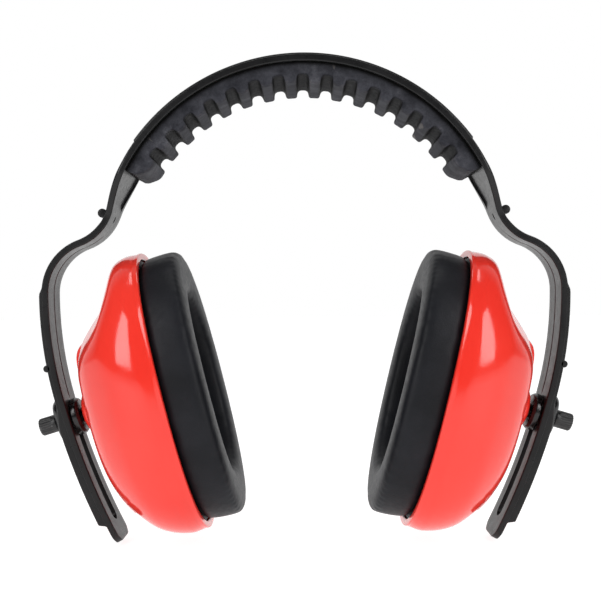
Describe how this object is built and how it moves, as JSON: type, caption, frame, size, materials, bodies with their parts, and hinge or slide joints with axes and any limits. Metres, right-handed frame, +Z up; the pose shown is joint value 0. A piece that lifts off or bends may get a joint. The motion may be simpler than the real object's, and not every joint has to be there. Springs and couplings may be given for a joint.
{
  "type": "hearing protection earmuffs",
  "caption": "Earmuffs with oval sound-blocking cups and soft cushions that tilt on ball stems, slide in slotted arms and are pressed on by a sprung, padded headband.",
  "frame": {"origin": "on the floor plane that the arm tips touch, under the middle of the headband", "axes": "+Z up towards the crown of the band, X across the head from cup to cup, Y front to back"},
  "size_m": [0.1974, 0.0792, 0.1761],
  "materials": {
    "band": "satin",
    "pad": "matte",
    "pivot": "satin",
    "knob": "satin",
    "cup": "gloss",
    "plate": "matte",
    "cushion": "satin",
    "foam": "matte"
  },
  "bodies": {
    "headband": {"headband_crown": "band", "headband_pad": "pad"},
    "right_arm": {"arm_right": "band"},
    "right_slider": {"stem_right": "pivot", "sleeve_right": "pivot", "collar_right": "pivot"},
    "right_knob": {"knob_right": "knob"},
    "right_bush": {"ball_bush_right": "pivot"},
    "right_cup": {"cup_shell_right": "cup", "back_plate_right": "plate", "cushion_right": "cushion", "foam_liner_right": "foam", "bush_retainer_right": "pivot"},
    "left_arm": {"arm_left": "band"},
    "left_slider": {"stem_left": "pivot", "sleeve_left": "pivot", "collar_left": "pivot"},
    "left_knob": {"knob_left": "knob"},
    "left_bush": {"ball_bush_left": "pivot"},
    "left_cup": {"cup_shell_left": "cup", "back_plate_left": "plate", "cushion_left": "cushion", "foam_liner_left": "foam", "bush_retainer_left": "pivot"}
  },
  "joints": [
    {"name": "right_band_flex", "type": "hinge", "parent": "headband", "child": "right_arm", "pos_m": [0.07266, 0, 0.11821], "axis": [0, -1, 0], "range_deg": [0, 30], "stiffness_Nm_per_rad": 1.9},
    {"name": "right_height", "type": "hinge", "parent": "right_arm", "child": "right_slider", "pos_m": [-0.15168, 0, 0.11746], "axis": [0, 1, 0], "range_deg": [-0.8, 8.6]},
    {"name": "right_knob_turn", "type": "hinge", "parent": "right_slider", "child": "right_knob", "pos_m": [0.07251, 0, 0.04935], "axis": [0.9568, 0, -0.2907], "range_deg": [0, 180]},
    {"name": "right_cup_tilt", "type": "hinge", "parent": "right_slider", "child": "right_bush", "pos_m": [0.07251, 0, 0.04935], "axis": [0, -1, 0], "range_deg": [-8, 8]},
    {"name": "right_cup_swivel", "type": "hinge", "parent": "right_bush", "child": "right_cup", "pos_m": [0.07251, 0, 0.04935], "axis": [0.2419, 0, 0.9703], "range_deg": [-8, 8]},
    {"name": "left_band_flex", "type": "hinge", "parent": "headband", "child": "left_arm", "pos_m": [-0.07266, 0, 0.11821], "axis": [0, 1, 0], "range_deg": [0, 30], "stiffness_Nm_per_rad": 1.9},
    {"name": "left_height", "type": "hinge", "parent": "left_arm", "child": "left_slider", "pos_m": [0.15168, 0, 0.11746], "axis": [0, -1, 0], "range_deg": [-0.8, 8.6]},
    {"name": "left_knob_turn", "type": "hinge", "parent": "left_slider", "child": "left_knob", "pos_m": [-0.07251, 0, 0.04935], "axis": [-0.9568, 0, -0.2907], "range_deg": [0, 180]},
    {"name": "left_cup_tilt", "type": "hinge", "parent": "left_slider", "child": "left_bush", "pos_m": [-0.07251, 0, 0.04935], "axis": [0, 1, 0], "range_deg": [-8, 8]},
    {"name": "left_cup_swivel", "type": "hinge", "parent": "left_bush", "child": "left_cup", "pos_m": [-0.07251, 0, 0.04935], "axis": [-0.2419, 0, 0.9703], "range_deg": [-8, 8]}
  ]
}
